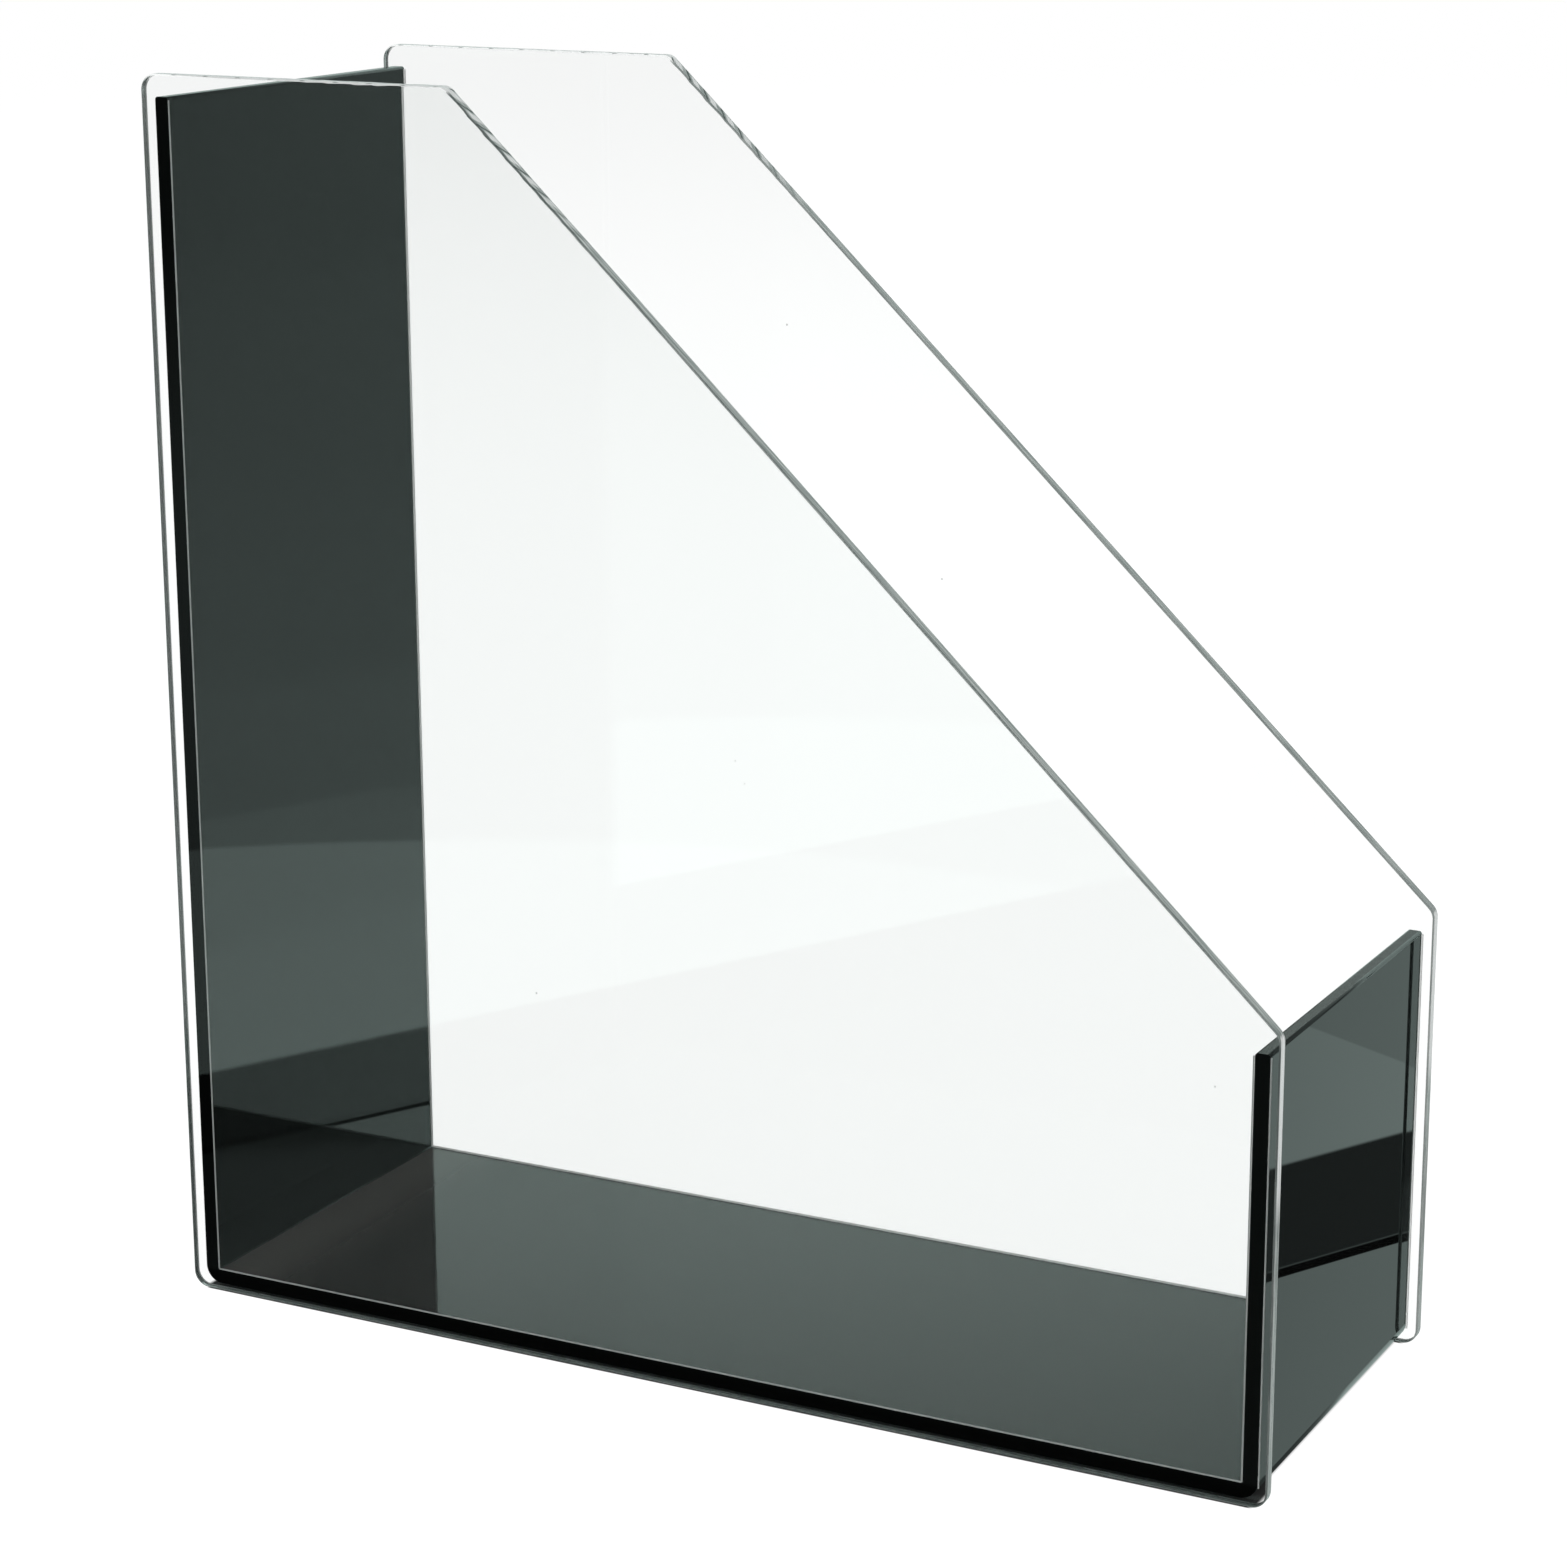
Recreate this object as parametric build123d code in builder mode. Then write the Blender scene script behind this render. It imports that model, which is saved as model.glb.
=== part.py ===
"""Desktop magazine rack: two clear acrylic side panels cemented to one bent black acrylic band.

The band is a single sheet with two heat bends. It makes the tall back wall, the floor and the
low front wall, and its cut edges are cemented to the inner faces of the side panels.

Frame, in millimetres: +Z up, +X towards the low open front, +Y across the width, with the
origin at the middle of the footprint, on the surface that the rack stands on. Left and right
are as seen by a person who faces the low front.
"""

import os

from build123d import *

# Side panels
height = 305.0  # bottom edge to top edge
depth = 290.0  # back edge to front edge
width = 106.6  # over the outer faces of both panels
panel_thickness = 3.0
top_length = 84.2  # top edge, from the back edge to the corner of the slope
front_height = 110.6  # front edge, from the bottom edge to the corner of the slope
panel_corner_radius = 4.0
panel_edge_radius = 0.4  # flame-polished rounding of every cut edge

# Bent band
band_thickness = 3.6
back_inset = 2.8  # back wall, in from the panels' back edges
front_inset = 2.9  # front wall, in from the panels' front edges
bottom_inset = 1.1  # underside, up from the panels' bottom edges
back_wall_drop = 5.5  # top of the back wall, down from the panels' top edges
front_wall_drop = 4.9  # top of the front wall, down from the panels' front corners
bend_radius = 0.8  # inside of both heat bends
wall_top_radius = 0.7  # rounding of the exposed edges on top of both walls

# Clear solvent cement
cement_film = 0.1  # between each cut edge of the band and its panel
cement_bead = 0.6  # leg of the bead that was squeezed out inside, along the panel
cement_bead_tip = 0.1  # width of the bead where it thins out on the band

# Worked out from the driving dimensions
back_edge = -depth / 2
front_edge = depth / 2
band_back = back_edge + back_inset
band_front = front_edge - front_inset
band_width = width - 2 * (panel_thickness + cement_film)
back_wall_top = height - back_wall_drop
front_wall_top = front_height - front_wall_drop
inside_back = band_back + band_thickness
inside_front = band_front - band_thickness
inside_floor = bottom_inset + band_thickness

os.makedirs("parts", exist_ok=True)


def panel_outline():
    """Return a side panel's outline, with rounded corners and the slope down to the front."""
    corners = [
        (back_edge, 0),
        (front_edge, 0),
        (front_edge, front_height),
        (back_edge + top_length, height),
        (back_edge, height),
    ]
    with BuildSketch() as outline:
        with BuildLine():
            FilletPolyline(corners, radius=panel_corner_radius, close=True)
        make_face()
    return outline.sketch


def u_outline(back, front, bottom, back_top, front_top, thickness, outer_bend, top_radius):
    """Return a U-shaped strip inside the given outer faces, bent at its two bottom corners."""
    inner_bend = outer_bend - thickness
    corners = [
        (back, back_top),
        (back, bottom),
        (front, bottom),
        (front, front_top),
        (front - thickness, front_top),
        (front - thickness, bottom + thickness),
        (back + thickness, bottom + thickness),
        (back + thickness, back_top),
    ]
    radii = [
        top_radius,
        outer_bend,
        outer_bend,
        top_radius,
        top_radius,
        inner_bend,
        inner_bend,
        top_radius,
    ]
    with BuildSketch() as outline:
        with BuildLine():
            FilletPolyline(corners, radius=radii, close=True)
        make_face()
    return outline.sketch


def band_outline():
    """Return the band's section across its bends."""
    return u_outline(
        back=band_back,
        front=band_front,
        bottom=bottom_inset,
        back_top=back_wall_top,
        front_top=front_wall_top,
        thickness=band_thickness,
        outer_bend=bend_radius + band_thickness,
        top_radius=wall_top_radius,
    )


def bead_outline(leg):
    """Return the cement bead along the band's inner faces, as wide as the given leg."""
    return u_outline(
        back=inside_back,
        front=inside_front,
        bottom=inside_floor,
        back_top=back_wall_top - wall_top_radius,
        front_top=front_wall_top - wall_top_radius,
        thickness=leg,
        outer_bend=bend_radius,
        top_radius=0,
    )


# One bent sheet: back wall, floor and front wall
with BuildPart() as bent_band:
    with BuildSketch(Plane.XZ):
        add(band_outline())
    extrude(amount=band_width / 2, both=True)
bent_band.part.label = "bent_band"
export_step(bent_band.part, "parts/bent_band.step")

# Planes here face -Y, so an offset and an extrusion are positive towards the left side
for side, towards_left in (("left", 1), ("right", -1)):
    outer_face = Plane.XZ.offset(towards_left * width / 2)
    inner_face = outer_face.offset(-towards_left * panel_thickness)
    bead_tip_plane = inner_face.offset(-towards_left * cement_bead)

    # Clear side panel
    with BuildPart() as side_panel:
        with BuildSketch(outer_face):
            add(panel_outline())
        extrude(amount=-towards_left * panel_thickness)
        fillet(side_panel.faces().filter_by(Axis.Y).edges(), radius=panel_edge_radius)
    side_panel.part.label = f"{side}_side_panel"
    export_step(side_panel.part, f"parts/{side}_side_panel.step")

    # Cement film on the band's cut edge, with its bead inside the rack
    with BuildPart() as cement_seam:
        with BuildSketch(inner_face):
            add(band_outline())
        extrude(amount=-towards_left * cement_film)
        with BuildSketch(inner_face):
            add(bead_outline(cement_bead))
        with BuildSketch(bead_tip_plane):
            add(bead_outline(cement_bead_tip))
        loft(ruled=True)
    cement_seam.part.label = f"{side}_cement_seam"
    export_step(cement_seam.part, f"parts/{side}_cement_seam.step")
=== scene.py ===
"""Looks of a desktop magazine rack: two clear acrylic sides cemented to one bent black sheet.

Everything is in metres in the rack's own frame: +Z up, +X towards the low open front, +Y across
the width, with the origin at the middle of the footprint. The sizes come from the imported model.
"""

from __future__ import annotations

import logging
import math
from dataclasses import dataclass, field
from enum import Enum
from functools import cache
from typing import Callable, Sequence

import bpy
from bpy.types import ID, Material, Node, NodeSocket, NodeTree, Object
from mathutils import Matrix, Vector, noise


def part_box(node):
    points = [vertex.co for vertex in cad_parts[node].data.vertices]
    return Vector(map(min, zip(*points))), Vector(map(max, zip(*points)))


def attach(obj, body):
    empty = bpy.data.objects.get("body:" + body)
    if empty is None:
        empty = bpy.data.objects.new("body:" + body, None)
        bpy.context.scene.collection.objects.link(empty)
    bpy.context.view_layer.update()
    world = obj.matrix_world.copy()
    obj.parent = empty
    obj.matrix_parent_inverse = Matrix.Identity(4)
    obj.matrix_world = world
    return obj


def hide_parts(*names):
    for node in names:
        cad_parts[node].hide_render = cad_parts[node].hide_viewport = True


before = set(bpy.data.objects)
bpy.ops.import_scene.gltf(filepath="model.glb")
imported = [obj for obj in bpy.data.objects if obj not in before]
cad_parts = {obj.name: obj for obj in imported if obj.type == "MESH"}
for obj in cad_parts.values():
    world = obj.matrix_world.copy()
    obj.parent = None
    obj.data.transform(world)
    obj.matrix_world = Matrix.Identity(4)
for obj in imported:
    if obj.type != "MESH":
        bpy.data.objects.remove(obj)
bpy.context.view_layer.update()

MM = 0.001
BODY = "root"
log = logging.getLogger("magazine_rack")

Colour = tuple[float, float, float]
Range = tuple[float, float]


class Side(Enum):
    """A side of the rack, with the way it lies along Y."""

    LEFT = -1
    RIGHT = 1

    @property
    def word(self) -> str:
        """The side's name in lower case."""
        return self.name.lower()


def linked(name: str, data: ID) -> Object:
    """Return a new object that holds the data, linked to the scene."""
    thing = bpy.data.objects.new(name, data)
    bpy.context.scene.collection.objects.link(thing)
    return thing


# Outlines and prisms


@dataclass(frozen=True)
class Corner:
    """A corner of an outline in the XZ plane, with the radius that rounds it."""

    x: float
    z: float
    radius: float

    @property
    def place(self) -> Vector:
        """The corner's place in the plane."""
        return Vector((self.x, self.z))


@dataclass(frozen=True)
class RimPoint:
    """A point on an outline, with its outward direction and its distance along the outline."""

    x: float
    z: float
    out_x: float
    out_z: float
    along: float
    on_arc: bool


@dataclass(frozen=True)
class Row:
    """One row of a prism's rim: its place across the thickness and its depth in from the outline."""

    y: float
    inset: float


def rounded_outline(corners: Sequence[Corner], spacing: float, arc_steps: int) -> list[RimPoint]:
    """Round an outline's corners and divide its straight runs.

    Args:
        corners: The corners, anticlockwise as seen with X to the right and Z up.
        spacing: The longest distance between points on a straight run.
        arc_steps: How many faces each rounded corner gets.

    Returns:
        The points in order, the last one joining back to the first.
    """
    points: list[RimPoint] = []
    along = 0.0

    def put(place: Vector, out: Vector, on_arc: bool) -> None:
        nonlocal along
        if points:
            along += (place - Vector((points[-1].x, points[-1].z))).length
        points.append(RimPoint(place.x, place.y, out.x, out.y, along, on_arc))

    count = len(corners)
    ways = [(corners[(i + 1) % count].place - corners[i].place).normalized() for i in range(count)]
    turns = [-ways[i - 1].angle_signed(ways[i]) for i in range(count)]
    reaches = [corner.radius * math.tan(abs(turn) / 2) for corner, turn in zip(corners, turns)]
    for index, (corner, way, turn) in enumerate(zip(corners, ways, turns)):
        way_in = ways[index - 1]
        hand = math.copysign(1.0, turn)
        inward = Vector((-way_in.y, way_in.x)) * hand
        centre = corner.place - way_in * reaches[index] + inward * corner.radius
        for step in range(arc_steps + 1):
            spoke = Matrix.Rotation(turn * step / arc_steps, 2) @ -inward
            put(centre + spoke * corner.radius, spoke * hand, step < arc_steps)
        after = (index + 1) % count
        run_start = Vector((points[-1].x, points[-1].z))
        run_end = corners[after].place - way * reaches[after]
        pieces = max(1, math.ceil((run_end - run_start).length / spacing))
        for piece in range(1, pieces):
            put(run_start.lerp(run_end, piece / pieces), Vector((way.y, -way.x)), False)
    return points


def prism(name: str, outline: Sequence[RimPoint], rows: Sequence[Row],
          sink: Callable[[RimPoint, Row], float] | None = None) -> Object:
    """Build a closed sheet from an outline and the rows of its rim.

    The first material slot is for the rim and the second for the two flat faces. Straight runs
    of a plain rim are shaded flat, and a rim with a sink is shaded smooth all round.

    Args:
        name: The piece's name.
        outline: The outline, anticlockwise with X to the right and Z up.
        rows: The rim's rows, from the lowest Y to the highest.
        sink: How much further in a point of a row lies, if the rim isn't even.

    Returns:
        The new object, linked to the scene.
    """
    vertices: list[tuple[float, float, float]] = []
    for row in rows:
        for point in outline:
            depth = row.inset + (sink(point, row) if sink else 0.0)
            vertices.append((point.x - point.out_x * depth, row.y, point.z - point.out_z * depth))
    count = len(outline)
    faces: list[tuple[int, ...]] = []
    smooth: list[bool] = []
    for level in range(len(rows) - 1):
        low, high = level * count, (level + 1) * count
        for index, point in enumerate(outline):
            after = (index + 1) % count
            faces.append((low + index, low + after, high + after, high + index))
            smooth.append(bool(sink) or point.on_arc or len(rows) > 2 and level in (0, len(rows) - 2))
    last = (len(rows) - 1) * count
    faces.append(tuple(reversed(range(count))))
    faces.append(tuple(range(last, last + count)))
    smooth += [False, False]
    mesh = bpy.data.meshes.new(name)
    mesh.from_pydata(vertices, [], [face[::-1] for face in faces])
    mesh.polygons.foreach_set("use_smooth", smooth)
    mesh.update()
    return linked(name, mesh)


def rounded_rows(low: float, high: float, radius: float, arc_steps: int, middle: int) -> list[Row]:
    """Return rim rows with both long edges rounded.

    Args:
        low: The lower flat face, along Y.
        high: The upper flat face, along Y.
        radius: The rounding of the edges.
        arc_steps: How many faces each rounding gets.
        middle: How many faces the rim gets between its roundings.
    """
    arc = [math.pi / 2 * step / arc_steps for step in range(arc_steps + 1)]
    rows = [Row(low + radius * (1 - math.cos(a)), radius * (1 - math.sin(a))) for a in arc]
    span = high - low - 2 * radius
    rows += [Row(low + radius + span * step / middle, 0.0) for step in range(1, middle)]
    rows += [Row(high - radius * (1 - math.cos(a)), radius * (1 - math.sin(a))) for a in reversed(arc)]
    return rows


# Node helpers


class NodeSheet:
    """Adds nodes to a tree and links them, so that a formula reads in its own order."""

    def __init__(self, tree: NodeTree) -> None:
        """Keep the tree.

        Args:
            tree: The shader or geometry tree that gets the nodes.
        """
        self.tree = tree

    def add(self, kind: str, **settings: object) -> Node:
        """Return a new node of a kind, with its properties set."""
        node = self.tree.nodes.new(kind)
        for key, value in settings.items():
            setattr(node, key, value)
        return node

    def feed(self, socket: NodeSocket, value: object) -> None:
        """Link an output to a socket, or set the socket's own value."""
        if isinstance(value, NodeSocket):
            self.tree.links.new(value, socket)
        else:
            socket.default_value = value

    def fill(self, node: Node, **values: object) -> Node:
        """Feed a node's inputs by name, an underscore standing for a space, and return the node."""
        for label, value in values.items():
            self.feed(node.inputs[label.replace("_", " ")], value)
        return node

    def math(self, operation: str, *values: object) -> NodeSocket:
        """Return the result of a math node on the values."""
        node = self.add("ShaderNodeMath", operation=operation)
        for socket, value in zip(node.inputs, values):
            self.feed(socket, value)
        return node.outputs[0]

    def times(self, first: object, second: object) -> NodeSocket:
        """Return the product of two values."""
        return self.math("MULTIPLY", first, second)

    def from_value(self, value: object, centre: float) -> NodeSocket:
        """Return how far a value is from a centre, whichever way."""
        return self.math("ABSOLUTE", self.math("SUBTRACT", value, centre))

    def vector(self, operation: str, *values: object) -> Node:
        """Return a vector math node on the values."""
        node = self.add("ShaderNodeVectorMath", operation=operation)
        for socket, value in zip(node.inputs, values):
            self.feed(socket, value)
        return node

    def along(self, place: object, way: Sequence[float]) -> NodeSocket:
        """Return how far a place lies along a direction."""
        return self.vector("DOT_PRODUCT", place, way).outputs["Value"]

    def parts(self, value: object) -> tuple[NodeSocket, ...]:
        """Return the X, Y and Z of a vector."""
        node = self.add("ShaderNodeSeparateXYZ")
        self.feed(node.inputs[0], value)
        return tuple(node.outputs)

    def place(self) -> NodeSocket:
        """Return the place on the piece, in the rack's own frame."""
        return self.add("ShaderNodeTexCoord").outputs["Object"]

    def remap(self, value: object, low: float, high: float, to_low: float = 0.0, to_high: float = 1.0,
              ) -> NodeSocket:
        """Return a value eased from one range to another and held at its ends."""
        node = self.add("ShaderNodeMapRange", interpolation_type="SMOOTHSTEP")
        self.fill(node, Value=value, From_Min=low, From_Max=high, To_Min=to_low, To_Max=to_high)
        return node.outputs["Result"]

    def blend(self, factor: object, first: object, second: object) -> NodeSocket:
        """Return a value that goes from the first to the second with the factor."""
        node = self.add("ShaderNodeMix", data_type="FLOAT")
        return self.fill(node, Factor=factor, A=first, B=second).outputs["Result"]

    def tint(self, factor: object, first: object, second: object) -> NodeSocket:
        """Return a colour that goes from the first to the second with the factor."""
        node = self.add("ShaderNodeMix", data_type="RGBA")
        self.feed(node.inputs["Factor"], factor)
        for socket, value in ((node.inputs[6], first), (node.inputs[7], second)):
            self.feed(socket, (*value, 1.0) if isinstance(value, tuple) else value)
        return node.outputs[2]

    def noise(self, coordinates: object, scale: float, detail: float = 2.0, distortion: float = 0.0,
              ) -> NodeSocket:
        """Return a noise value around 0.5 on the coordinates."""
        node = self.add("ShaderNodeTexNoise")
        self.fill(node, Vector=coordinates, Scale=scale, Detail=detail, Distortion=distortion)
        return node.outputs["Fac"]


def new_group(name: str, inputs: Sequence[tuple[str, float]], outputs: Sequence[tuple[str, str]],
              ) -> tuple[NodeTree, Node, Node]:
    """Start a shader node group.

    Args:
        name: The group's name.
        inputs: Names and starting values of its number inputs.
        outputs: Names and socket types of its outputs.

    Returns:
        The group, its input node and its output node.
    """
    group = bpy.data.node_groups.new(name, "ShaderNodeTree")
    for label, value in inputs:
        socket = group.interface.new_socket(label, in_out="INPUT", socket_type="NodeSocketFloat")
        socket.default_value = value
    for label, kind in outputs:
        group.interface.new_socket(label, in_out="OUTPUT", socket_type=kind)
    return group, group.nodes.new("NodeGroupInput"), group.nodes.new("NodeGroupOutput")


@cache
def handling_marks() -> NodeTree:
    """Return the group that masks hairline scratches, dust specks and faint smudges.

    The clear, black and bonded-edge finishes use it. Its outputs are masks from 0 to 1.
    """
    cells_a_metre = 70.0
    group, given, result = new_group(
        "handling_marks",
        [("Speck Share", 0.03), ("Speck Size", 0.4 * MM), ("Scratch Share", 0.3)],
        [(label, "NodeSocketFloat") for label in ("Specks", "Scratches", "Smudges")],
    )
    sheet = NodeSheet(group)
    place = sheet.place()

    cells = sheet.fill(sheet.add("ShaderNodeTexVoronoi", feature="F1"), Vector=place, Scale=cells_a_metre)
    channels = sheet.fill(sheet.add("ShaderNodeSeparateColor"), Color=cells.outputs["Color"])
    chosen = sheet.math("LESS_THAN", channels.outputs[0], given.outputs["Speck Share"])
    radius = sheet.times(given.outputs["Speck Size"], channels.outputs[1])
    distance = sheet.math("DIVIDE", cells.outputs["Distance"], cells_a_metre)
    inside = sheet.math("LESS_THAN", distance, radius)
    sheet.feed(result.inputs["Specks"], sheet.times(chosen, inside))

    bent = sheet.fill(sheet.add("ShaderNodeTexNoise"), Vector=place, Scale=9.0)
    shift = sheet.fill(sheet.vector("SCALE", bent.outputs["Color"]), Scale=0.06)
    moved = sheet.vector("ADD", place, shift.outputs[0]).outputs[0]
    lines = sheet.add("ShaderNodeTexVoronoi", feature="DISTANCE_TO_EDGE")
    sheet.fill(lines, Vector=moved, Scale=14.0)
    thin = sheet.remap(lines.outputs["Distance"], 0.0, 0.0022, 1.0, 0.0)
    patch = sheet.noise(place, 26.0, 1.0)
    limit = sheet.math("SUBTRACT", 0.78, sheet.times(given.outputs["Scratch Share"], 0.4))
    here = sheet.remap(sheet.math("SUBTRACT", patch, limit), 0.0, 0.06)
    sheet.feed(result.inputs["Scratches"], sheet.times(thin, here))

    cloud = sheet.noise(place, 17.0, 4.0, 0.6)
    sheet.feed(result.inputs["Smudges"], sheet.remap(cloud, 0.48, 0.78))
    return group


@cache
def sheet_ripple() -> NodeTree:
    """Return the group that gives the normal of a sheet that isn't optically flat.

    It has two waves: the slow draw of a cast sheet and the closer ripple of heated acrylic.
    """
    group, given, result = new_group(
        "sheet_ripple", [("Draw", 1.0), ("Ripple", 1.0)], [("Normal", "NodeSocketVector")])
    sheet = NodeSheet(group)
    place = sheet.place()
    slow = sheet.times(sheet.noise(place, 7.0, 0.0), given.outputs["Draw"])
    quick = sheet.times(sheet.noise(place, 60.0, 1.0), given.outputs["Ripple"])
    height = sheet.math("ADD", slow, sheet.times(quick, 0.06))
    bump = sheet.fill(sheet.add("ShaderNodeBump"), Strength=1.0, Distance=0.1 * MM, Height=height)
    sheet.feed(result.inputs["Normal"], bump.outputs["Normal"])
    return group


# Finishes


@dataclass(frozen=True)
class Finish:
    """What every finish shares: its name and its refractive index."""

    name: str
    ior: float = 1.49

    def start(self) -> tuple[Material, NodeSheet, Node]:
        """Return a new material, its node sheet and its Principled shader."""
        material = bpy.data.materials.new(self.name)
        material.use_nodes = True
        shader = material.node_tree.nodes["Principled BSDF"]
        shader.inputs["IOR"].default_value = self.ior
        return material, NodeSheet(material.node_tree), shader

    def marks(self, sheet: NodeSheet, share: float, size: float, scratches: float) -> Node:
        """Place the handling marks with the finish's own share and size of specks and scratches."""
        node = sheet.add("ShaderNodeGroup", node_tree=handling_marks())
        return sheet.fill(node, Speck_Share=share, Speck_Size=size, Scratch_Share=scratches)

    def ripple(self, sheet: NodeSheet, draw: float, ripple: float) -> NodeSocket:
        """Place the sheet ripple with the finish's own values and return its normal."""
        node = sheet.add("ShaderNodeGroup", node_tree=sheet_ripple())
        return sheet.fill(node, Draw=draw, Ripple=ripple).outputs["Normal"]


@dataclass(frozen=True)
class ClearAcrylic(Finish):
    """Clear cast acrylic, with a little dust and a few hairlines on its faces."""

    name: str = "clear_acrylic"
    colour: Colour = (0.985, 0.995, 0.990)
    dust: Colour = (0.35, 0.36, 0.35)

    def material(self) -> Material:
        """Return the material."""
        material, sheet, shader = self.start()
        marks = self.marks(sheet, share=0.10, size=0.6 * MM, scratches=0.1)
        sheet.fill(shader, Base_Color=sheet.tint(marks.outputs["Specks"], self.colour, self.dust),
                   Roughness=sheet.times(marks.outputs["Scratches"], 0.08),
                   Normal=self.ripple(sheet, draw=0.25, ripple=0.1), Transmission_Weight=1.0)
        return material


@dataclass(frozen=True)
class CutEdge(Finish):
    """The panels' flame-polished rim, still a little hazy along the line of the cut.

    The rim has painted shade: it is painted dark at its rounded edges and on the back run, where
    it's seen from inside the sheet. It has painted highlights: the top run and the upper front are
    painted bright, and down the top of the slope a row of bright lens-shaped glints with dark
    streaks between them stands in for the flame's facets catching the light. Each range is where
    one look gives way to another.
    """

    name: str = "polished_edge_painted_light"
    pale: Colour = (0.58, 0.62, 0.60)
    deep: Colour = (0.28, 0.32, 0.31)
    # Painted shade colour: the rounded edges, the back run and the streaks on the slope.
    dark: Colour = (0.03, 0.04, 0.038)
    # Painted highlight colour: the top run, the upper front and the glints on the slope.
    bright: Colour = (0.97, 0.985, 0.98)
    grain: tuple[float, float, float] = (70.0, 2600.0, 70.0)
    panel_middle: float = 51.8 * MM
    half_thickness: float = 1.5 * MM
    top_highlight: Range = (302.5 * MM, 304.0 * MM)
    front_highlight_height: Range = (64.0 * MM, 76.0 * MM)
    front_highlight_facing: Range = (0.85, 0.97)
    back_shade_facing: Range = (-0.90, -0.40)
    rounding: Range = (0.62, 0.90)
    slope_start: tuple[float, float] = (-60.8 * MM, 305.0 * MM)
    slope_way: tuple[float, float] = (0.727, -0.687)
    off_slope: Range = (0.10, 0.18)
    # The painted lens-shaped glints: their spacing, how far down the slope they reach and their width.
    lens_length: float = 6.6 * MM
    lens_reach: float = 62.0 * MM
    lens_width: Range = (0.45, 0.75)

    def painted_lens_highlights(self, sheet: NodeSheet, place: NodeSocket, across: NodeSocket,
               ) -> tuple[NodeSocket, NodeSocket]:
        """Return masks of the painted lens-shaped glints and of the painted dark streaks between them.

        Args:
            sheet: The material's sheet.
            place: The place on the rim.
            across: The place across the rim, from -1 to 1.
        """
        from_start = sheet.vector("SUBTRACT", place, (self.slope_start[0], 0.0, self.slope_start[1]))
        run = sheet.along(from_start.outputs[0], (self.slope_way[0], 0.0, self.slope_way[1]))
        turns = sheet.math("MULTIPLY_ADD", across, 0.30, sheet.math("DIVIDE", run, self.lens_length))
        phase = sheet.math("FRACT", turns)
        reach = sheet.remap(run, self.lens_reach * 0.35, self.lens_reach, 1.0, 0.0)
        middle = sheet.remap(sheet.from_value(phase, 0.5), 0.16, 0.26, 1.0, 0.0)
        narrow = sheet.remap(sheet.math("ABSOLUTE", across), *self.lens_width, 1.0, 0.0)
        lens = sheet.times(sheet.times(middle, narrow), reach)
        gap = sheet.remap(sheet.from_value(phase, 0.04), 0.05, 0.16, 1.0, 0.0)
        return lens, sheet.times(gap, reach)

    def material(self) -> Material:
        """Return the material."""
        material, sheet, shader = self.start()
        source = sheet.add("ShaderNodeTexCoord")
        place = source.outputs["Object"]
        stretch = sheet.fill(sheet.add("ShaderNodeMapping"), Vector=place, Scale=self.grain)
        lines = sheet.noise(stretch.outputs["Vector"], 1.0, 2.0)
        colour = sheet.tint(sheet.remap(lines, 0.35, 0.65), self.deep, self.pale)

        _, y, z = sheet.parts(place)
        facing_x, _, facing_z = sheet.parts(source.outputs["Normal"])
        off_middle = sheet.math("SUBTRACT", sheet.math("ABSOLUTE", y), self.panel_middle)
        across = sheet.math("DIVIDE", off_middle, self.half_thickness)
        # Painted highlight: the top run and the upper front face are painted bright.
        level = sheet.remap(z, *self.top_highlight)
        front = sheet.times(sheet.remap(facing_x, *self.front_highlight_facing), sheet.remap(z, *self.front_highlight_height))
        colour = sheet.tint(sheet.math("MAXIMUM", level, front), colour, self.bright)
        # Painted shade: the rounded edges, except along the top, and the back run are painted dark.
        rounded = sheet.times(sheet.remap(sheet.math("ABSOLUTE", across), *self.rounding),
                              sheet.math("SUBTRACT", 1.0, level))
        colour = sheet.tint(sheet.times(rounded, 0.7), colour, self.dark)
        colour = sheet.tint(sheet.remap(facing_x, *self.back_shade_facing, 1.0, 0.0), colour, self.dark)
        # The slope faces upwards by as much as it runs forwards.
        on_slope = sheet.remap(sheet.from_value(facing_z, self.slope_way[0]), *self.off_slope, 1.0, 0.0)
        # Painted highlights and painted shade: bright lens-shaped glints with dark streaks between them,
        # down the top of the slope.
        lens, gap = self.painted_lens_highlights(sheet, place, across)
        colour = sheet.tint(sheet.times(gap, on_slope), colour, self.dark)
        colour = sheet.tint(sheet.times(lens, on_slope), colour, self.bright)
        sheet.fill(shader, Base_Color=colour, Roughness=sheet.remap(lines, 0.3, 0.7, 0.10, 0.34),
                   Normal=self.ripple(sheet, draw=0.3, ripple=1.5), Transmission_Weight=0.38)
        return material


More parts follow.
